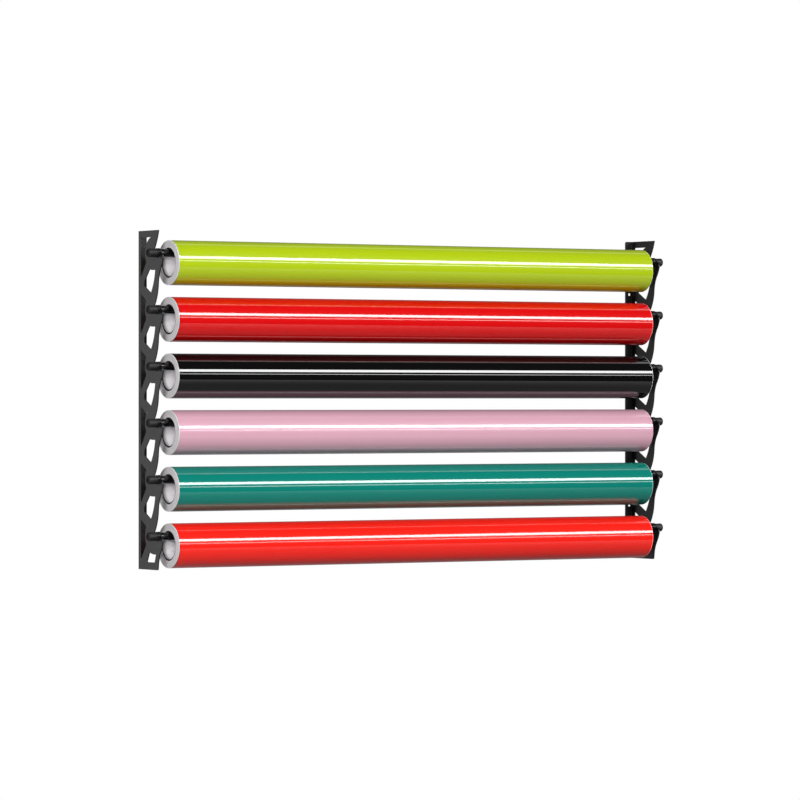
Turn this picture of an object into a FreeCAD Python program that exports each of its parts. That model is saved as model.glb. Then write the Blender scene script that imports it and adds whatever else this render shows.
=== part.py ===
"""Wall rack that holds six rolls of backdrop film on lift-out bars.

Two bent sheet-steel brackets screw to a wall, one at each end. Each has six
open hooks down its front edge. A plastic bush lies in each hook, a steel tube
with a cap pushed on each end turns in every pair of bushes, and a roll of film
wound on a hollow core hangs from each tube by the top of its core.

Frame, in millimetres: X along the rolls, Y into the wall, Z up. The origin
lies in the wall plane, midway between the brackets and halfway up them.
"""

import FreeCAD
import Part

import math
import os

V = FreeCAD.Vector

# Rolls: film wound on a hollow core.
STATIONS = 6           # station 1 is the top one
PITCH = 150.0          # height from one bar to the next
FILM_WIDTH = 1520.0
FILM_OD = 119.0
CORE_BORE = 72.0
CORE_WALL = 4.2
CORE_RECESS = 2.0      # how far the core ends inside the wound film
ROLL_SHIFT = -3.5      # rolls hang a little to the left of the middle

# Bars: thin-walled tubes with push-on caps.
BAR_OD = 21.3
BAR_WALL = 1.5
CAP_WALL = 0.5         # plastic round the outside of the tube
CAP_END = 5.0          # plastic past the end of the tube
CAP_GRIP = 20.0        # length of tube that a cap covers
CAP_HEAD = 10.0        # length of a cap's thicker outer end
CAP_HEAD_WALL = 0.3    # how much thicker it is
CAP_DOME = 4.0         # rounding of a cap's outer end
CAP_PLAY = 0.5         # gap from a cap to the bush beside it

# Bushes: each has a neck that lies in the hook, between two shoulders.
BUSH_WALL = 1.0
BUSH_FIT = 0.15        # round the bar in its bush
BUSH_PLAY = 0.5        # between the side plate and each shoulder of a bush
BUSH_SHOULDER = 1.2    # how far the shoulders stand out from the neck
BUSH_INNER = 4.0       # length of the shoulder inside the bracket
BUSH_OUTER = 1.5       # length of the shoulder outside it

# Brackets: one bent sheet each, a cut-out side plate and a wall flange.
SHEET = 3.0
FLANGE_WIDTH = 25.0
FLANGE_CORNER = 5.0
BEND_OUTSIDE = 4.0
BEND_INSIDE = 1.0
BAR_REACH = 105.0      # from the wall to a bar's centreline
TOP_MARGIN = 61.0      # from the top bar to the top of the bracket
BOTTOM_MARGIN = 89.0   # from the bottom bar to the foot of the bracket
ROLL_TO_PLATE = 35.0   # from a roll's end to the inside of a side plate
SCREW_HOLE = 8.0
SCREW_FROM_END = 150.0
SCREW_FROM_FACE = 11.5  # from the bracket's outer face to a screw hole

# Hooks, measured from the centreline of the bar that lies in them.
RUN_CLEARANCE = 0.3    # round a bush in its hook, and between a bar and its core
LIFT_LEAN = 25.0       # degrees that the hook's mouth leans forward of upright
LIP_INNER = 10.5       # straight inside wall of the lip
LIP_TIP = 5.0          # width of the lip at its tip
LIP_REACH = 32.0       # front of the lip
LIP_DROP = 14.0        # how far below the bar the lip reaches out most
NECK_GAP = 4.0         # from the back of the seat to the corner of the neck
NECK_DEPTH = 48.5      # neck behind the bar, front to back
NECK_DIP = 2.5         # corner of the neck, below the top of the seat
NECK_HOLLOW = 3.5      # how far behind the bar the neck's front curves back
NECK_ROUND = 1.5       # rounding of the neck's corners and of the plate's top
HEAD_FRONT = 8.5       # front of the plate at its top
FRONT_EDGE = 5.5       # front of the plate between hooks
BLOCK_DEPTH = 42.0     # solid plate under a bar
LIP_HOLLOW = 0.2       # dip in the lip's front, as a share of its chord
SWELL_REACH = 18.0     # front of the swelling at the foot of the block
SWELL_BULGE = 1.5
STRIP_START = 7.0      # front of the strip where it meets the neck above a bar
STRIP_RISE = 15.0      # how far above that neck the strip starts
WAIST_HOLLOW = 1.8
FOOT_CORNER = 5.0

# Cut-outs in a side plate.
BACK_STRIP = 16.0
FOOT_BAND = 20.0
HEAD_BAND = 18.0
WINDOW_BACK = 34.0     # from the wall to a window's back corner
CORNER = 2.0           # rounding of the inside corners

# Corners of the rear cut-outs: forward of the back of the neck, and up from a bar.
REAR_SHOULDER = (0.0, 10.0)
REAR_WAIST = (0.0, -11.0)
REAR_CHEEK = (5.0, -19.0)
REAR_BELOW = (3.5, -26.0)
REAR_TOP_TIP = 31.0                # forward, at the head of the top cut-out
REAR_TOP_BEND = (8.0, 27.5)
REAR_KNEE = (2.0, 28.0)
REAR_TIP = (11.0, 27.5)
REAR_BEND = (2.5, 19.5)
REAR_LOW = -64.0                   # foot of a cut-out at the back strip, from its bar
REAR_HIGH = 44.0                   # head of a cut-out at the back strip, from its bar

# Corners of the windows: forward of a bar, and up from it or from the foot of its block.
WINDOW_HEAD_BACK = (-42.0, 0.0)
WINDOW_HEAD_MID = (-26.0, -2.5)
WINDOW_HEAD_FRONT = (-9.5, -1.5)
WINDOW_LOW = (-34.0, 44.5)         # from the bar below
WINDOW_BACK_LOW = 64.5             # from the bar below
WINDOW_BACK_HIGH = 75.5            # from the bar below
WINDOW_BULGE = 4.5
FOOT_WINDOW_MID = (-25.0, -5.0)
FOOT_WINDOW_FRONT = (-5.0, -5.5)
FOOT_WINDOW_BASE = (-13.0, -56.0)  # front and back corners at the foot band

HEIGHT = TOP_MARGIN + (STATIONS - 1) * PITCH + BOTTOM_MARGIN
BAR_R = BAR_OD / 2
BUSH_BORE_R = BAR_R + BUSH_FIT
NECK_R = BUSH_BORE_R + BUSH_WALL             # neck of a bush
SEAT_R = NECK_R + RUN_CLEARANCE
CORE_R = CORE_BORE / 2
FILM_BORE_R = CORE_R + CORE_WALL
ROLL_DROP = CORE_R - BAR_R - RUN_CLEARANCE   # roll centreline below its bar
PLATE_IN = FILM_WIDTH / 2 + ROLL_TO_PLATE
PLATE_OUT = PLATE_IN + SHEET
NECK_IN = PLATE_IN - BUSH_PLAY
NECK_OUT = PLATE_OUT + BUSH_PLAY
CAP_START = NECK_OUT + BUSH_OUTER + CAP_PLAY
TUBE_END = CAP_START + CAP_GRIP
LEAN = math.radians(LIFT_LEAN)


def bar_height(station):
    """Height of a bar's centreline; station 0 is the top one."""
    return HEIGHT / 2 - TOP_MARGIN - station * PITCH


def on_plate(forward, up, station):
    """A point on the side plate, from the centreline of a station's bar."""
    return V(0, -(BAR_REACH + forward), bar_height(station) + up)


def halfway(a, b):
    return (a + b) * 0.5


def line(a, b):
    return Part.LineSegment(a, b).toShape()


def arc(a, through, b):
    return Part.Arc(a, through, b).toShape()


def slab(edges, thickness):
    """A flat solid, from X 0 to its thickness, inside a closed run of edges."""
    return Part.Face(Part.Wire(edges)).extrude(V(thickness, 0, 0))


def round_corners(solid, corners, radius):
    """Rounds the edges along X that pass through these points."""
    picked = []
    for edge in solid.Edges:
        ends = [vertex.Point for vertex in edge.Vertexes]
        if len(ends) != 2 or abs(ends[0].x - ends[1].x) < 1e-6:
            continue
        if abs(ends[0].y - ends[1].y) + abs(ends[0].z - ends[1].z) > 1e-6:
            continue
        for corner in corners:
            if math.hypot(ends[0].y - corner.y, ends[0].z - corner.z) < 1e-3:
                picked.append(edge)
    return solid.makeFillet(radius, picked)


def hook_points(station):
    """Named points of one hook's edge, from the neck down to the next neck."""
    lean_out = V(0, -math.cos(LEAN), -math.sin(LEAN))
    lean_up = V(0, -math.sin(LEAN), math.cos(LEAN))
    centre = on_plate(0, 0, station)
    foot = centre + lean_out * SEAT_R
    tip = foot + lean_up * LIP_INNER
    front = HEAD_FRONT if station == 0 else FRONT_EDGE
    p = {
        "neck_top": on_plate(front, TOP_MARGIN, station),
        "neck_mid": on_plate(-NECK_HOLLOW, TOP_MARGIN / 2, station),
        "neck_corner": on_plate(-(SEAT_R + NECK_GAP), SEAT_R - NECK_DIP, station),
        "seat_back": centre + V(0, SEAT_R, 0),
        "seat_bottom": centre - V(0, 0, SEAT_R),
        "lip_foot": foot,
        "lip_inner": tip,
        "lip_top": tip + lean_out * (LIP_TIP / 2) + lean_up * (LIP_TIP / 2),
        "lip_outer": tip + lean_out * LIP_TIP,
        "lip_front": on_plate(LIP_REACH, -LIP_DROP, station),
        "swell_end": on_plate(SWELL_REACH, -BLOCK_DEPTH, station),
        "strip_start": on_plate(STRIP_START, TOP_MARGIN + STRIP_RISE, station + 1),
    }
    chord = p["lip_front"] - p["lip_outer"]
    outward = V(0, -chord.z, chord.y).normalize()
    p["lip_bulge"] = halfway(p["lip_outer"], p["lip_front"]) - outward * (LIP_HOLLOW * chord.Length)
    p["swell_mid"] = halfway(p["lip_front"], p["swell_end"]) - V(0, SWELL_BULGE, 0)
    p["waist_mid"] = halfway(p["swell_end"], p["strip_start"]) + V(0, WAIST_HOLLOW, 0)
    return p


def plate_outline():
    """The side plate's outer edge, clockwise from the top at the wall."""
    top_back = V(0, 0, HEIGHT / 2)
    foot_back = V(0, 0, -HEIGHT / 2)
    foot_front = V(0, -(BAR_REACH + FRONT_EDGE), -HEIGHT / 2)
    edges = []
    here = top_back
    for station in range(STATIONS):
        p = hook_points(station)
        edges += [
            line(here, p["neck_top"]),
            arc(p["neck_top"], p["neck_mid"], p["neck_corner"]),
            line(p["neck_corner"], p["seat_back"]),
            arc(p["seat_back"], p["seat_bottom"], p["lip_foot"]),
            line(p["lip_foot"], p["lip_inner"]),
            arc(p["lip_inner"], p["lip_top"], p["lip_outer"]),
            arc(p["lip_outer"], p["lip_bulge"], p["lip_front"]),
            arc(p["lip_front"], p["swell_mid"], p["swell_end"]),
            arc(p["swell_end"], p["waist_mid"], p["strip_start"]),
        ]
        here = p["strip_start"]
    edges += [
        line(here, foot_front),
        line(foot_front, foot_back),
        line(foot_back, top_back),
    ]
    return edges, foot_front


def rear_cutout(station):
    """The opening behind a hook, between the back strip and the neck."""
    back = BACK_STRIP - BAR_REACH
    neck = -(SEAT_R + NECK_GAP + NECK_DEPTH)

    def corner(place):
        return on_plate(neck + place[0], place[1], station)

    shoulder = corner(REAR_SHOULDER)
    waist = corner(REAR_WAIST)
    cheek = corner(REAR_CHEEK)
    below = corner(REAR_BELOW)
    low = on_plate(back, REAR_LOW, station)
    if station == 0:
        head = TOP_MARGIN - HEAD_BAND
        top = on_plate(back, head, station)
        tip = on_plate(neck + REAR_TOP_TIP, head, station)
        bend = corner(REAR_TOP_BEND)
        roof = [line(top, tip)]
        corners = [top]
    else:
        top = on_plate(back, REAR_HIGH, station)
        knee = corner(REAR_KNEE)
        tip = corner(REAR_TIP)
        bend = corner(REAR_BEND)
        roof = [line(top, knee), line(knee, tip)]
        corners = [top, knee]
    edges = roof + [
        arc(tip, bend, shoulder),
        line(shoulder, waist),
        line(waist, cheek),
        line(cheek, below),
        line(below, low),
        line(low, top),
    ]
    return slab(edges, SHEET), corners + [low, waist, cheek, below]


def window(station):
    """The opening under a hook, inside the two struts and the front strip."""
    def under_block(place):
        return on_plate(place[0], place[1] - BLOCK_DEPTH, station)

    head_back = under_block(WINDOW_HEAD_BACK)
    if station == STATIONS - 1:
        foot = FOOT_BAND - BOTTOM_MARGIN
        front, back = FOOT_WINDOW_BASE
        head_front = under_block(FOOT_WINDOW_FRONT)
        foot_front = on_plate(front, foot, station)
        foot_back = on_plate(back, foot, station)
        edges = [
            arc(head_back, under_block(FOOT_WINDOW_MID), head_front),
            line(head_front, foot_front),
            line(foot_front, foot_back),
            line(foot_back, head_back),
        ]
        return slab(edges, SHEET), [head_back, head_front, foot_front, foot_back]
    back = WINDOW_BACK - BAR_REACH
    head_front = under_block(WINDOW_HEAD_FRONT)
    low = on_plate(WINDOW_LOW[0], WINDOW_LOW[1], station + 1)
    side_mid = halfway(head_front, low) - V(0, WINDOW_BULGE, 0)
    back_low = on_plate(back, WINDOW_BACK_LOW, station + 1)
    back_high = on_plate(back, WINDOW_BACK_HIGH, station + 1)
    edges = [
        arc(head_back, under_block(WINDOW_HEAD_MID), head_front),
        arc(head_front, side_mid, low),
        line(low, back_low),
        line(back_low, back_high),
        line(back_high, head_back),
    ]
    return slab(edges, SHEET), [head_back, head_front, low, back_low, back_high]


def wall_flange():
    """The strip that lies on the wall, with its screw holes, from X 0 inwards."""
    strip = Part.makeBox(FLANGE_WIDTH, SHEET, HEIGHT, V(0, -SHEET, -HEIGHT / 2))
    free = [
        edge
        for edge in strip.Edges
        if all(abs(v.Point.x - FLANGE_WIDTH) < 1e-6 for v in edge.Vertexes)
        and abs(edge.Vertexes[0].Point.z - edge.Vertexes[1].Point.z) < 1e-6
    ]
    strip = strip.makeFillet(FLANGE_CORNER, free)
    for side in (-1, 1):
        height = side * (HEIGHT / 2 - SCREW_FROM_END)
        start = V(SCREW_FROM_FACE, 1, height)
        hole = Part.makeCylinder(SCREW_HOLE / 2, SHEET + 2, start, V(0, -1, 0))
        strip = strip.cut(hole)
    return strip


def bend_edge(solid, x, y, radius):
    """Rounds the upright edge of a bracket at this place."""
    picked = []
    for edge in solid.Edges:
        ends = [vertex.Point for vertex in edge.Vertexes]
        if len(ends) == 2 and abs(ends[0].z - ends[1].z) > 10:
            if all(abs(e.x - x) < 1e-3 and abs(e.y - y) < 1e-3 for e in ends):
                picked.append(edge)
    return solid.makeFillet(radius, picked)


def bracket():
    """The left bracket: its outer face is at X 0, and its flange points to +X."""
    edges, foot_front = plate_outline()
    plate = slab(edges, SHEET)
    necks = [hook_points(s)["neck_corner"] for s in range(STATIONS)]
    plate = round_corners(plate, [hook_points(0)["neck_top"]] + necks, NECK_ROUND)
    plate = round_corners(plate, [foot_front], FOOT_CORNER)
    for station in range(STATIONS):
        for cutter, corners in (rear_cutout(station), window(station)):
            plate = plate.cut(round_corners(cutter, corners, CORNER))
    whole = plate.fuse(wall_flange()).removeSplitter()
    whole = bend_edge(whole, SHEET, -SHEET, BEND_INSIDE)
    whole = bend_edge(whole, 0, 0, BEND_OUTSIDE)
    whole.translate(V(-PLATE_OUT, 0, 0))
    return whole


def tube(outer_r, inner_r, half_length, middle, z):
    """A tube along X, at a bar's distance from the wall."""
    start = V(middle - half_length, -BAR_REACH, z)
    outside = Part.makeCylinder(outer_r, 2 * half_length, start, V(1, 0, 0))
    inside = Part.makeCylinder(inner_r, 2 * half_length, start, V(1, 0, 0))
    return outside.cut(inside)


def rod(radius, x_from, x_to, station):
    """A solid rod along X on a bar's centreline."""
    start = V(x_from, -BAR_REACH, bar_height(station))
    return Part.makeCylinder(radius, x_to - x_from, start, V(1, 0, 0))


def end_cap(station):
    """The right-hand cap of a bar: a sleeve round the tube and a thicker, domed head."""
    end = TUBE_END + CAP_END
    sleeve_r = BAR_R + CAP_WALL
    sleeve = rod(sleeve_r, CAP_START, end - CAP_DOME, station)
    head = rod(sleeve_r + CAP_HEAD_WALL, end - CAP_HEAD, end, station)
    head = head.makeFillet(CAP_DOME, [e for e in head.Edges if e.BoundBox.XMin > end - 1])
    return sleeve.fuse(head).cut(rod(BAR_R, CAP_START, TUBE_END, station)).removeSplitter()


def bush(station):
    """The right-hand bush of a bar: a neck in the hook, between two shoulders."""
    start = NECK_IN - BUSH_INNER
    end = NECK_OUT + BUSH_OUTER
    shoulders = []
    for x_from, x_to in ((start, NECK_IN), (NECK_OUT, end)):
        shoulder = rod(NECK_R + BUSH_SHOULDER, x_from, x_to, station)
        rims = [e for e in shoulder.Edges if e.BoundBox.XLength < 1e-6]
        shoulders.append(shoulder.makeFillet(BUSH_SHOULDER / 3, rims))
    whole = rod(NECK_R, start, end, station).fuse(shoulders)
    return whole.cut(rod(BUSH_BORE_R, start, end, station)).removeSplitter()


def mirrored(shape):
    return shape.mirror(V(0, 0, 0), V(1, 0, 0))


def write(name, shape):
    if not shape.isValid() or shape.Volume <= 0:
        raise ValueError(name + " is not a valid solid")
    shape.exportStep("parts/" + name + ".step")


os.makedirs("parts", exist_ok=True)

left = bracket()
write("left_bracket", left)
write("right_bracket", mirrored(left))
for station in range(STATIONS):
    number = str(station + 1)
    bar_z = bar_height(station)
    roll_z = bar_z - ROLL_DROP
    bar = tube(BAR_R, BAR_R - BAR_WALL, TUBE_END, 0, bar_z)
    core = tube(FILM_BORE_R, CORE_R, FILM_WIDTH / 2 - CORE_RECESS, ROLL_SHIFT, roll_z)
    film = tube(FILM_OD / 2, FILM_BORE_R, FILM_WIDTH / 2, ROLL_SHIFT, roll_z)
    cap = end_cap(station)
    ring = bush(station)
    write("bar_tube_" + number, bar)
    write("left_cap_" + number, mirrored(cap))
    write("right_cap_" + number, cap)
    write("left_bush_" + number, mirrored(ring))
    write("right_bush_" + number, ring)
    write("roll_core_" + number, core)
    write("roll_film_" + number, film)
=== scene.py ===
import math
import random

import bmesh
import bpy
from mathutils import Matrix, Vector


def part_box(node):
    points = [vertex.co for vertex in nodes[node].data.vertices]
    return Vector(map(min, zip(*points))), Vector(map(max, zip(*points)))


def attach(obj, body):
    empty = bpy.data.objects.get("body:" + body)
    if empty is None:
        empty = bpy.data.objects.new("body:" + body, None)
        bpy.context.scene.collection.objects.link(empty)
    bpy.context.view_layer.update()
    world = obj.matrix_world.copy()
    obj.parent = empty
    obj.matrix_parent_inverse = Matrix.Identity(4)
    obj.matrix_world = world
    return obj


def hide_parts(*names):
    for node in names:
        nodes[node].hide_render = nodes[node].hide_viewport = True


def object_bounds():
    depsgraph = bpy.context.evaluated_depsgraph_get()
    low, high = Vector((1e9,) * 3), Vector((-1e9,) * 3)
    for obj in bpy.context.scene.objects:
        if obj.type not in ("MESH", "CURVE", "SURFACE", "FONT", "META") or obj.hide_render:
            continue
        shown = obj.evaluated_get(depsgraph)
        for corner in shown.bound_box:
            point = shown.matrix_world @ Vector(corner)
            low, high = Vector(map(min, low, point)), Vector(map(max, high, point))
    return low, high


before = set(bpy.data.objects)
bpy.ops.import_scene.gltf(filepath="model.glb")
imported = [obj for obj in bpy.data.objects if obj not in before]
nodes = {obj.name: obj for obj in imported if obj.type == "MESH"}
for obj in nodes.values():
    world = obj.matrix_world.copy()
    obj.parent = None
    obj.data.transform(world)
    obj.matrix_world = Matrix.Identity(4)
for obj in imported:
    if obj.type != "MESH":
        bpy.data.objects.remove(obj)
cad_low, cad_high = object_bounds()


# Camera. It stands in the room to the left of the rack, level with its middle,
# and looks along the wall with a long lens, so the rolls recede to the right.

scene = bpy.context.scene

STAND = Vector((-6.511, -10.623, 0.0057))
TURN = math.radians(31.5885)
DIP = 0.000455

look = Vector((math.sin(TURN), math.cos(TURN), -DIP))
camera = bpy.data.objects.new("camera", bpy.data.cameras.new("camera"))
camera.location = STAND
camera.rotation_mode = "QUATERNION"
camera.rotation_quaternion = look.to_track_quat("-Z", "Y")
camera.data.sensor_width = 36.0
camera.data.lens = 203.4
camera.data.clip_end = 200.0
scene.collection.objects.link(camera)
scene.camera = camera


# Wall brackets. Each is one sheet of 3 mm steel, cut out by laser, bent once
# along its wall edge, and covered all over with a dark, finely textured powder coat.

def finish_named(name, colour, roughness, specular=0.5):
    """A new material, and its node tree, with the values that are even all over."""
    made = bpy.data.materials.new(name)
    made.use_nodes = True
    tree = made.node_tree
    shader = tree.nodes["Principled BSDF"]
    shader.inputs["Base Color"].default_value = (*colour, 1.0)
    shader.inputs["Roughness"].default_value = roughness
    shader.inputs["Specular IOR Level"].default_value = specular
    return made, tree, shader


def add_node(tree, kind, **values):
    """A node whose inputs and settings are given by name."""
    node = tree.nodes.new(kind)
    for key, value in values.items():
        if key in node.inputs:
            node.inputs[key].default_value = value
        else:
            setattr(node, key, value)
    return node


def grain(tree, size, stretch=(1.0, 1.0, 1.0), detail=4.0):
    """Noise in the piece's own coordinates, with features about this many metres wide."""
    place = add_node(tree, "ShaderNodeTexCoord")
    spread = add_node(tree, "ShaderNodeMapping")
    spread.inputs["Scale"].default_value = stretch
    noise = add_node(tree, "ShaderNodeTexNoise", Scale=1.0 / size, Detail=detail)
    tree.links.new(place.outputs["Object"], spread.inputs["Vector"])
    tree.links.new(spread.outputs["Vector"], noise.inputs["Vector"])
    return noise.outputs["Fac"]


def tone(tree, factor, shader, dark, light, low=0.35, high=0.65):
    """Colours the shader from dark to light as the factor rises from low to high."""
    ramp = add_node(tree, "ShaderNodeValToRGB")
    ramp.color_ramp.elements[0].position = low
    ramp.color_ramp.elements[0].color = (*dark, 1.0)
    ramp.color_ramp.elements[1].position = high
    ramp.color_ramp.elements[1].color = (*light, 1.0)
    tree.links.new(factor, ramp.inputs["Fac"])
    tree.links.new(ramp.outputs["Color"], shader.inputs["Base Color"])
    return ramp


def relief(tree, height, shader, depth, strength=1.0):
    """Bumps of this depth, in metres, where the height runs from 0 to 1."""
    bump = add_node(tree, "ShaderNodeBump", Strength=strength, Distance=depth)
    tree.links.new(height, bump.inputs["Height"])
    tree.links.new(bump.outputs["Normal"], shader.inputs["Normal"])
    return bump


def sheen_range(tree, factor, shader, smooth, rough):
    """Roughness that varies between two values with the factor."""
    spread = add_node(tree, "ShaderNodeMapRange")
    spread.inputs["To Min"].default_value = smooth
    spread.inputs["To Max"].default_value = rough
    tree.links.new(factor, spread.inputs["Value"])
    tree.links.new(spread.outputs["Result"], shader.inputs["Roughness"])


SOFT_EDGE = 0.0004

powder, tree, shader = finish_named("bracket_powder_coat", (0.017, 0.017, 0.018), 0.45)
tone(tree, grain(tree, 0.09), shader, (0.004, 0.004, 0.0045), (0.006, 0.006, 0.006))
speckle = grain(tree, 0.0011, detail=2.0)
sheen_range(tree, speckle, shader, 0.28, 0.42)
texture = relief(tree, speckle, shader, 0.00006)
soft_edge = add_node(tree, "ShaderNodeBevel", Radius=SOFT_EDGE)
tree.links.new(soft_edge.outputs["Normal"], texture.inputs["Normal"])

for side in ("left", "right"):
    bracket = nodes[side + "_bracket"]
    bracket.data.materials.clear()
    bracket.data.materials.append(powder)


# Bars. Each is a length of thin-walled steel tube, painted gloss black, that
# lies in a pair of hooks and carries one roll.

def turned(name, outline, centre, count=96, closed=True, sharp=math.radians(28)):
    """A piece turned about X: outline is (x, radius) points, and x is in the row frame."""
    mesh = bpy.data.meshes.new(name)
    form = bmesh.new()
    rings = []
    for x, radius in outline:
        ring = []
        for step in range(count):
            turn = 2 * math.pi * step / count
            ring.append(form.verts.new((x, radius * math.sin(turn), radius * math.cos(turn))))
        rings.append(ring)
    pairs = list(zip(rings, rings[1:]))
    if closed:
        pairs.append((rings[-1], rings[0]))
    for near, far in pairs:
        for step in range(count):
            after = (step + 1) % count
            form.faces.new((near[step], near[after], far[after], far[step]))
    bmesh.ops.recalc_face_normals(form, faces=form.faces)
    form.to_mesh(mesh)
    form.free()
    mesh.shade_smooth()
    mesh.set_sharp_from_angle(angle=sharp)
    piece = bpy.data.objects.new(name, mesh)
    piece.location = (0.0, centre.y, centre.z)
    scene.collection.objects.link(piece)
    return piece


def middle(node):
    low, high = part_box(node)
    return (low + high) / 2


def ends(node):
    low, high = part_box(node)
    return low.x, high.x


ROLLS = 6
BAR_RADIUS = 0.01065
BAR_BORE = 0.00915
CUT_EDGE = 0.0003

gloss_black, tree, shader = finish_named("bar_gloss_paint", (0.004, 0.004, 0.0045), 0.14)
streak = grain(tree, 0.012, stretch=(0.12, 1.0, 1.0))
sheen_range(tree, streak, shader, 0.12, 0.24)
relief(tree, streak, shader, 0.00002)

for number in range(1, ROLLS + 1):
    node = "bar_tube_%d" % number
    start, stop = ends(node)
    outline = [
        (start, BAR_BORE), (start, BAR_RADIUS - CUT_EDGE), (start + CUT_EDGE, BAR_RADIUS),
        (stop - CUT_EDGE, BAR_RADIUS), (stop, BAR_RADIUS - CUT_EDGE), (stop, BAR_BORE),
    ]
    bar = turned("bar_%d" % number, outline, middle(node), count=72)
    bar.data.materials.append(gloss_black)
    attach(bar, node.replace("tube_", ""))
    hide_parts(node)


# End caps. Dull black moulded plastic, pushed over the cut ends of each tube,
# with a thicker domed head and a fine parting line where the mould closed.

CAP_SLEEVE = 0.01115
CAP_HEAD = 0.01145
CAP_HEAD_LENGTH = 0.010
CAP_DOME = 0.004
CAP_END = 0.005
SLOPE = 0.0012
LINE_WIDTH = 0.0002
LINE_DEPTH = 0.00015
LINE_PLACE = 0.001
PIP_OUTER = 0.0016
PIP_INNER = 0.0012
PIP_DEPTH = 0.0008
AXIS = 0.0001

dull_black, tree, shader = finish_named("cap_moulded_plastic", (0.009, 0.009, 0.0095), 0.5)
pebble = grain(tree, 0.0006, detail=1.0)
sheen_range(tree, pebble, shader, 0.48, 0.66)
relief(tree, pebble, shader, 0.00006)


def dome(edge, radius, bend, steps, way):
    """The rounded outer end of a cap, from its side to the middle of its face."""
    points = []
    for step in range(steps + 1):
        turn = math.pi / 2 * step / steps
        along = edge - way * bend * (1 - math.sin(turn))
        points.append((along, radius - bend * (1 - math.cos(turn))))
    return points


for number in range(1, ROLLS + 1):
    for side, way in (("left", -1), ("right", 1)):
        node = "%s_cap_%d" % (side, number)
        low, high = ends(node)
        mouth, tip = (low, high) if way > 0 else (high, low)
        shoulder = tip - way * CAP_HEAD_LENGTH
        line = tip - way * (CAP_DOME + LINE_PLACE)
        outline = [
            (mouth, BAR_RADIUS), (mouth, CAP_SLEEVE - CUT_EDGE),
            (mouth + way * CUT_EDGE, CAP_SLEEVE),
            (shoulder - way * SLOPE, CAP_SLEEVE), (shoulder, CAP_HEAD),
            (line - way * LINE_WIDTH, CAP_HEAD), (line, CAP_HEAD - LINE_DEPTH),
            (line + way * LINE_WIDTH, CAP_HEAD),
        ]
        outline += reversed(dome(tip, CAP_HEAD, CAP_DOME, 8, way))
        pip = tip - way * PIP_DEPTH
        floor_of_cap = tip - way * CAP_END
        outline += [(tip, PIP_OUTER), (pip, PIP_INNER), (pip, AXIS)]
        outline += [(floor_of_cap, AXIS), (floor_of_cap, BAR_RADIUS)]
        cap = turned("%s_end_cap_%d" % (side, number), outline, middle(node), count=64)
        cap.data.materials.append(dull_black)
        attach(cap, "bar_%d" % number)
        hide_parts(node)


# Bushes. A grooved ring of black nylon snaps round the bar at each bracket; its
# neck lies in the hook and its shoulders stand either side of the sheet.

BUSH_BORE = 0.0108
BUSH_NECK = 0.0118
BUSH_SHOULDER = 0.0130
SHEET = 0.003
PLAY = 0.0005
BUSH_EDGE = 0.0004

nylon, tree, shader = finish_named("bush_nylon", (0.010, 0.010, 0.011), 0.36)
mottle = grain(tree, 0.002)
sheen_range(tree, mottle, shader, 0.3, 0.45)
relief(tree, mottle, shader, 0.00003)

for number in range(1, ROLLS + 1):
    for side, way in (("left", -1), ("right", 1)):
        node = "%s_bush_%d" % (side, number)
        low, high = ends(node)
        inner, outer = (low, high) if way > 0 else (high, low)
        sheet_low, sheet_high = ends(side + "_bracket")
        face = sheet_low if way < 0 else sheet_high
        groove_in = face - way * (SHEET + PLAY)
        groove_out = face + way * PLAY
        cut = way * BUSH_EDGE
        rim = BUSH_SHOULDER - BUSH_EDGE
        outline = [
            (inner, BUSH_BORE), (inner, rim), (inner + cut, BUSH_SHOULDER),
            (groove_in - cut, BUSH_SHOULDER), (groove_in, rim), (groove_in, BUSH_NECK),
            (groove_out, BUSH_NECK), (groove_out, rim), (groove_out + cut, BUSH_SHOULDER),
            (outer - cut, BUSH_SHOULDER), (outer, rim), (outer, BUSH_BORE),
        ]
        bush = turned("%s_hook_bush_%d" % (side, number), outline, middle(node), count=64)
        bush.data.materials.append(nylon)
        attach(bush, "bushes_%d" % number)
        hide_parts(node)


# Cores. Spirally wound board tubes with a pale liner inside; the sawn ends lie just inside the
# film, show the plies and are near black, partly their own dark board and partly painted shade of
# the recess. The liner darkens towards each mouth as painted shade.

CORE_OUTER = 0.0402
CORE_BORE = 0.0360
SPIRAL = 0.105
SEAM_SHARE = 0.008
ROLL_SHIFT = -0.0035
# Painted shade inside each core: the liner is darkened over the last 16 mm before each cut end,
# down to a tenth of its colour.
MOUTH = 0.760
SHADE_ENDS_AT = 0.744
MOUTH_SHADE = 0.10

liner, tree, shader = finish_named("core_liner", (0.80, 0.78, 0.81), 0.42)
place = add_node(tree, "ShaderNodeTexCoord")
parts = add_node(tree, "ShaderNodeSeparateXYZ")
angle = add_node(tree, "ShaderNodeMath", operation="ARCTAN2")
turns = add_node(tree, "ShaderNodeMath", operation="DIVIDE")
turns.inputs[1].default_value = 2 * math.pi
along = add_node(tree, "ShaderNodeMath", operation="DIVIDE")
along.inputs[1].default_value = SPIRAL
phase = add_node(tree, "ShaderNodeMath", operation="ADD")
saw = add_node(tree, "ShaderNodeMath", operation="FRACT")
seam = add_node(tree, "ShaderNodeMath", operation="LESS_THAN")
seam.inputs[1].default_value = SEAM_SHARE
tree.links.new(place.outputs["Object"], parts.inputs["Vector"])
tree.links.new(parts.outputs["Y"], angle.inputs[0])
tree.links.new(parts.outputs["Z"], angle.inputs[1])
tree.links.new(angle.outputs["Value"], turns.inputs[0])
tree.links.new(parts.outputs["X"], along.inputs[0])
tree.links.new(turns.outputs["Value"], phase.inputs[0])
tree.links.new(along.outputs["Value"], phase.inputs[1])
tree.links.new(phase.outputs["Value"], saw.inputs[0])
tree.links.new(saw.outputs["Value"], seam.inputs[0])
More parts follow.
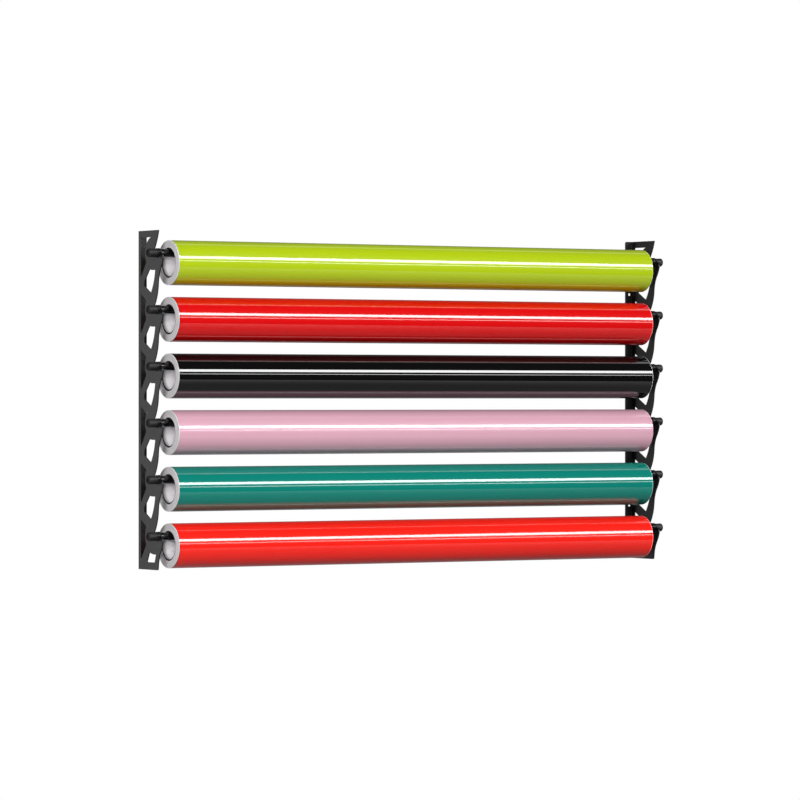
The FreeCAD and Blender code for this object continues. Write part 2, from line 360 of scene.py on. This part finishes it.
board = tone(tree, seam.outputs["Value"], shader, (0.82, 0.79, 0.82), (0.55, 0.53, 0.54), 0.0, 1.0)
# Painted shade: the liner colour is scaled down towards each mouth.
from_middle = add_node(tree, "ShaderNodeMath", operation="ADD")
from_middle.inputs[1].default_value = -ROLL_SHIFT
reach = add_node(tree, "ShaderNodeMath", operation="ABSOLUTE")
mouth_shade_fade = add_node(tree, "ShaderNodeMapRange", interpolation_type="SMOOTHSTEP")
mouth_shade_fade.inputs["From Min"].default_value = MOUTH
mouth_shade_fade.inputs["From Max"].default_value = SHADE_ENDS_AT
mouth_shade_fade.inputs["To Min"].default_value = MOUTH_SHADE
mouth_shade_fade.inputs["To Max"].default_value = 1.0
shaded_liner = add_node(tree, "ShaderNodeVectorMath", operation="SCALE")
tree.links.new(parts.outputs["X"], from_middle.inputs[0])
tree.links.new(from_middle.outputs["Value"], reach.inputs[0])
tree.links.new(reach.outputs["Value"], mouth_shade_fade.inputs["Value"])
tree.links.new(board.outputs["Color"], shaded_liner.inputs["Vector"])
tree.links.new(mouth_shade_fade.outputs["Result"], shaded_liner.inputs["Scale"])
tree.links.new(shaded_liner.outputs["Vector"], shader.inputs["Base Color"])
fibre = grain(tree, 0.004, stretch=(0.3, 1.0, 1.0))
relief(tree, fibre, shader, 0.00005)

# The sawn ends are near black: partly the board's own dark cut edge, partly painted shade where
# the end sits back in its recess.
sawn, tree, shader = finish_named("core_sawn_end", (0.010, 0.009, 0.008), 0.9, 0.2)
plies = grain(tree, 0.0008)
tone(tree, plies, shader, (0.006, 0.005, 0.0045), (0.015, 0.012, 0.010))
relief(tree, plies, shader, 0.0002)

for number in range(1, ROLLS + 1):
    node = "roll_core_%d" % number
    start, stop = ends(node)
    outline = [
        (start, CORE_BORE + CUT_EDGE), (start, CORE_OUTER), (stop, CORE_OUTER),
        (stop, CORE_BORE + CUT_EDGE), (stop - CUT_EDGE, CORE_BORE), (start + CUT_EDGE, CORE_BORE),
    ]
    core = turned("core_%d" % number, outline, middle(node), count=128)
    core.data.materials.append(liner)
    core.data.materials.append(sawn)
    for face in core.data.polygons:
        if abs(face.normal.x) > 0.5:
            face.material_index = 1
    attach(core, "roll_%d" % number)
    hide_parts(node)


# Film. A long web of glossy coloured film is wound tight on each core. Its
# white backing shows at the ends as rings that sit a hair in or out of line.

FILM_OUTER = 0.0595
FILM_BORE = 0.0402
LAYERS = 26
EDGE = 0.0005
MARGIN = 0.0011
EDGE_HIGHLIGHT_FROM = 0.0016
EDGE_HIGHLIGHT_TO = 0.0008
MOST_SINK = 0.00022
LAYER_GAP = 0.00002
FILMS = [
    ((0.38, 0.51, 0.004), 0.3),
    ((0.60, 0.001, 0.002), 0.12),
    ((0.002, 0.002, 0.002), 0.0),
    ((0.60, 0.325, 0.41), 0.9),
    ((0.0005, 0.18, 0.14), 0.08),
    ((0.80, 0.012, 0.006), 0.12),
]


def film_finish(number, colour, haze):
    """Gloss film: a sharp reflection, and a soft haze around it on the paler colours."""
    made, tree, shader = finish_named("film_%d" % number, colour, 0.05)
    shader.inputs["IOR"].default_value = 1.8
    shader.inputs["Coat Weight"].default_value = haze
    shader.inputs["Coat Roughness"].default_value = 0.36
    dark = [channel * 0.97 for channel in colour]
    light = [min(1.0, channel * 1.03) for channel in colour]
    sweep = grain(tree, 0.25, stretch=(0.15, 1.0, 1.0), detail=2.0)
    tone(tree, sweep, shader, dark, light)
    wrap = grain(tree, 0.08, stretch=(0.08, 1.0, 1.0), detail=1.0)
    relief(tree, wrap, shader, 0.0000015)
    return made


def wound_edge_finish(number, colour):
    """The film's cut edges: pale rings that vary from layer to layer, with a painted edge
    highlight just inside the outer edge.
    """
    made, tree, shader = finish_named("film_edge_%d" % number, (0.7, 0.68, 0.69), 0.6, 0.3)
    place = add_node(tree, "ShaderNodeTexCoord")
    flat = add_node(tree, "ShaderNodeVectorMath", operation="MULTIPLY")
    flat.inputs[1].default_value = (0.0, 1.0, 1.0)
    reach = add_node(tree, "ShaderNodeVectorMath", operation="LENGTH")
    noise = add_node(tree, "ShaderNodeTexNoise", noise_dimensions="1D", Scale=1400.0, Detail=3.0)
    tree.links.new(place.outputs["Object"], flat.inputs[0])
    tree.links.new(flat.outputs["Vector"], reach.inputs[0])
    tree.links.new(reach.outputs["Value"], noise.inputs["W"])
    # Painted edge highlight: the end face is made lighter in a narrow band just inside the film's
    # outer edge.
    rim = add_node(tree, "ShaderNodeMapRange")
    rim.inputs["From Min"].default_value = FILM_OUTER - EDGE_HIGHLIGHT_FROM
    rim.inputs["From Max"].default_value = FILM_OUTER - EDGE_HIGHLIGHT_TO
    rim.inputs["To Max"].default_value = 0.25
    total = add_node(tree, "ShaderNodeMath", operation="ADD")
    tree.links.new(reach.outputs["Value"], rim.inputs["Value"])
    tree.links.new(noise.outputs["Fac"], total.inputs[0])
    tree.links.new(rim.outputs["Result"], total.inputs[1])
    tint = [0.78 + 0.06 * channel for channel in colour]
    tone(tree, total.outputs["Value"], shader, (0.58, 0.555, 0.57), tint, 0.3, 1.0)
    relief(tree, noise.outputs["Fac"], shader, 0.0003)
    return made


for number, (colour, haze) in enumerate(FILMS, start=1):
    node = "roll_film_%d" % number
    start, stop = ends(node)
    chance = random.Random(number)
    layer = (FILM_OUTER - EDGE - FILM_BORE) / LAYERS
    left_end, right_end = [], []
    for step in range(LAYERS):
        inner = FILM_BORE + step * layer
        for face, way, points in ((start, 1, left_end), (stop, -1, right_end)):
            sink = 0.0 if step == LAYERS - 1 else chance.uniform(0.0, MOST_SINK)
            points.append((face + way * sink, inner))
            points.append((face + way * sink, inner + layer - LAYER_GAP))
    bend = [(0.0, 0.0), (0.3, 0.7), (1.0, 1.0)]
    left_edge = [(start + EDGE * x, FILM_OUTER - EDGE + EDGE * r) for x, r in bend[1:]]
    left_edge.append((start + MARGIN, FILM_OUTER))
    right_edge = [(stop - EDGE * x, FILM_OUTER - EDGE + EDGE * r) for x, r in reversed(bend[1:])]
    right_edge.insert(0, (stop - MARGIN, FILM_OUTER))
    outline = left_end + left_edge + right_edge + right_end[::-1]
    film = turned("film_winding_%d" % number, outline, middle(node), count=192)
    film.data.materials.append(film_finish(number, colour, haze))
    film.data.materials.append(wound_edge_finish(number, colour))
    # Faces within the margin at each end of the outer surface take the pale edge finish too, with
    # its painted edge highlight.
    for face in film.data.polygons:
        reach = math.hypot(face.center.y, face.center.z)
        at_margin = min(face.center.x - start, stop - face.center.x) < MARGIN
        if reach < FILM_OUTER - EDGE or at_margin:
            face.material_index = 1
    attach(film, "roll_%d" % number)
    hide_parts(node)


# Room. A plain pale floor lies below the rack and fades into a white surround.
# Soft panels light the front and back; long strips show as lines along the film.

FLOOR_DROP = 1.1
FLOOR_RADIUS = 4.6
FLOOR_FADES = (3.7, 4.5)
FLOOR_DARK_TO_LIGHT = (1.0, 4.0)

floor_mesh = bpy.data.meshes.new("floor")
floor_form = bmesh.new()
bmesh.ops.create_circle(floor_form, cap_ends=True, segments=96, radius=FLOOR_RADIUS)
floor_form.to_mesh(floor_mesh)
floor_form.free()
floor = bpy.data.objects.new("floor", floor_mesh)
floor.location = (0.8, -0.9, cad_low.z - FLOOR_DROP)
scene.collection.objects.link(floor)
pale, tree, shader = finish_named("floor_paint", (0.5, 0.5, 0.5), 0.8, 0.05)
place = add_node(tree, "ShaderNodeTexCoord")
reach = add_node(tree, "ShaderNodeVectorMath", operation="LENGTH")
fade = add_node(tree, "ShaderNodeMapRange", interpolation_type="SMOOTHSTEP")
fade.inputs["From Min"].default_value = FLOOR_FADES[0]
fade.inputs["From Max"].default_value = FLOOR_FADES[1]
fade.inputs["To Min"].default_value = 1.0
fade.inputs["To Max"].default_value = 0.0
tree.links.new(place.outputs["Object"], reach.inputs[0])
tree.links.new(reach.outputs["Value"], fade.inputs["Value"])
tree.links.new(fade.outputs["Result"], shader.inputs["Alpha"])
fade_in = add_node(tree, "ShaderNodeMapRange")
fade_in.inputs["From Min"].default_value = FLOOR_DARK_TO_LIGHT[0]
fade_in.inputs["From Max"].default_value = FLOOR_DARK_TO_LIGHT[1]
tree.links.new(reach.outputs["Value"], fade_in.inputs["Value"])
seen = add_node(tree, "ShaderNodeLightPath")
blend = tree.nodes.new("ShaderNodeMix")
blend.data_type = "RGBA"
blend.inputs["B"].default_value = (0.82, 0.82, 0.82, 1.0)
near, far = (0.20, 0.20, 0.20), (0.60, 0.60, 0.60)
spread = tone(tree, fade_in.outputs["Result"], shader, near, far, 0.0, 1.0)
tree.links.new(spread.outputs["Color"], blend.inputs["A"])
tree.links.new(seen.outputs["Is Camera Ray"], blend.inputs["Factor"])
tree.links.new(blend.outputs["Result"], shader.inputs["Base Color"])
floor.data.materials.append(pale)

surround = bpy.data.worlds.new("surround")
surround.use_nodes = True
scene.world = surround
tree = surround.node_tree
tree.nodes.clear()
seen = add_node(tree, "ShaderNodeLightPath")
dim = add_node(tree, "ShaderNodeBackground", Color=(1.0, 1.0, 1.0, 1.0))
facing = add_node(tree, "ShaderNodeTexCoord")
sides = add_node(tree, "ShaderNodeSeparateXYZ")
glow = add_node(tree, "ShaderNodeMapRange")
glow.inputs["From Min"].default_value = -0.1
glow.inputs["From Max"].default_value = 0.6
glow.inputs["To Min"].default_value = 0.03
glow.inputs["To Max"].default_value = 0.10
tree.links.new(facing.outputs["Generated"], sides.inputs["Vector"])
tree.links.new(sides.outputs["Y"], glow.inputs["Value"])
tree.links.new(glow.outputs["Result"], dim.inputs["Strength"])
bright = add_node(tree, "ShaderNodeBackground", Color=(1.0, 1.0, 1.0, 1.0), Strength=1.0)
both = add_node(tree, "ShaderNodeMixShader")
out = add_node(tree, "ShaderNodeOutputWorld")
tree.links.new(seen.outputs["Is Camera Ray"], both.inputs[0])
tree.links.new(dim.outputs[0], both.inputs[1])
tree.links.new(bright.outputs[0], both.inputs[2])
tree.links.new(both.outputs[0], out.inputs["Surface"])


def soft_light(name, place, target, width, height, power, diffuse=True, glossy=True):
    """A rectangular light that faces the target, width along X as far as it can."""
    data = bpy.data.lights.new(name, "AREA")
    data.shape = "RECTANGLE"
    data.size = width
    data.size_y = height
    data.energy = power
    light = bpy.data.objects.new(name, data)
    light.location = place
    light.rotation_mode = "QUATERNION"
    light.rotation_quaternion = (Vector(target) - Vector(place)).to_track_quat("-Z", "Y")
    light.visible_camera = False
    light.visible_diffuse = diffuse
    light.visible_glossy = glossy
    scene.collection.objects.link(light)
    return light


def strip_light(name, height_angle, spread, radiance, left, right, distance=40.0, diffuse=False):
    """A long strip parallel to the rolls, between two places along X."""
    rise = math.radians(height_angle)
    tall = 2 * distance * math.tan(math.radians(spread) / 2)
    centre = (left + right) / 2
    place = (centre, -distance * math.cos(rise), distance * math.sin(rise))
    power = radiance * (right - left) * tall * math.pi
    return soft_light(name, place, (centre, 0.0, 0.0), right - left, tall, power, diffuse=diffuse)


def panel_light(name, place, width, height, radiance, diffuse=True, glossy=True):
    """A flat soft panel of a given brightness, facing the middle of the rack."""
    power = radiance * width * height * math.pi
    return soft_light(name, place, (0.0, 0.0, 0.0), width, height, power, diffuse, glossy)


def lights_only(light, names):
    """Limits a light to the named pieces."""
    group = bpy.data.collections.new(light.name + "_pieces")
    for name in names:
        group.objects.link(bpy.data.objects[name])
    light.light_linking.receiver_collection = group


lower_rolls = ["film_winding_%d" % number for number in range(2, ROLLS + 1)]
strip_light("main_strip", 28.2, 12.5, 11.0, -90.0, 120.0, diffuse=True)
strip_light("thin_strip", 10.8, 2.2, 8.0, -90.0, 120.0)
lights_only(strip_light("top_strip", 85.0, 12.0, 1.1, -8.0, 12.0, distance=4.0), lower_rolls)
lights_only(strip_light("top_strip_left", 85.0, 12.0, 2.5, -8.0, 2.1, distance=4.0), lower_rolls)
strip_light("rear_strip", 106.0, 8.0, 0.6, -8.0, 12.0, distance=4.0)
panel_light("side_panel", (-5.0, -2.6, 1.0), 3.0, 3.0, 4.0, glossy=False)
panel_light("front_panel", (0.0, -5.0, -1.4), 4.0, 1.2, 1.6, glossy=False)
panel_light("back_panel", (-2.75, 3.0, 0.0), 1.5, 2.6, 1.0, diffuse=False)
panel_light("rear_fill", (0.5, 5.0, 0.6), 5.0, 2.0, 1.6, glossy=False)
bore_light = panel_light("bore_panel", (-4.5, -6.5, 0.6), 3.0, 3.0, 14.0, glossy=False)
lights_only(bore_light, ["core_%d" % number for number in range(1, ROLLS + 1)])

scene.view_settings.view_transform = "Standard"
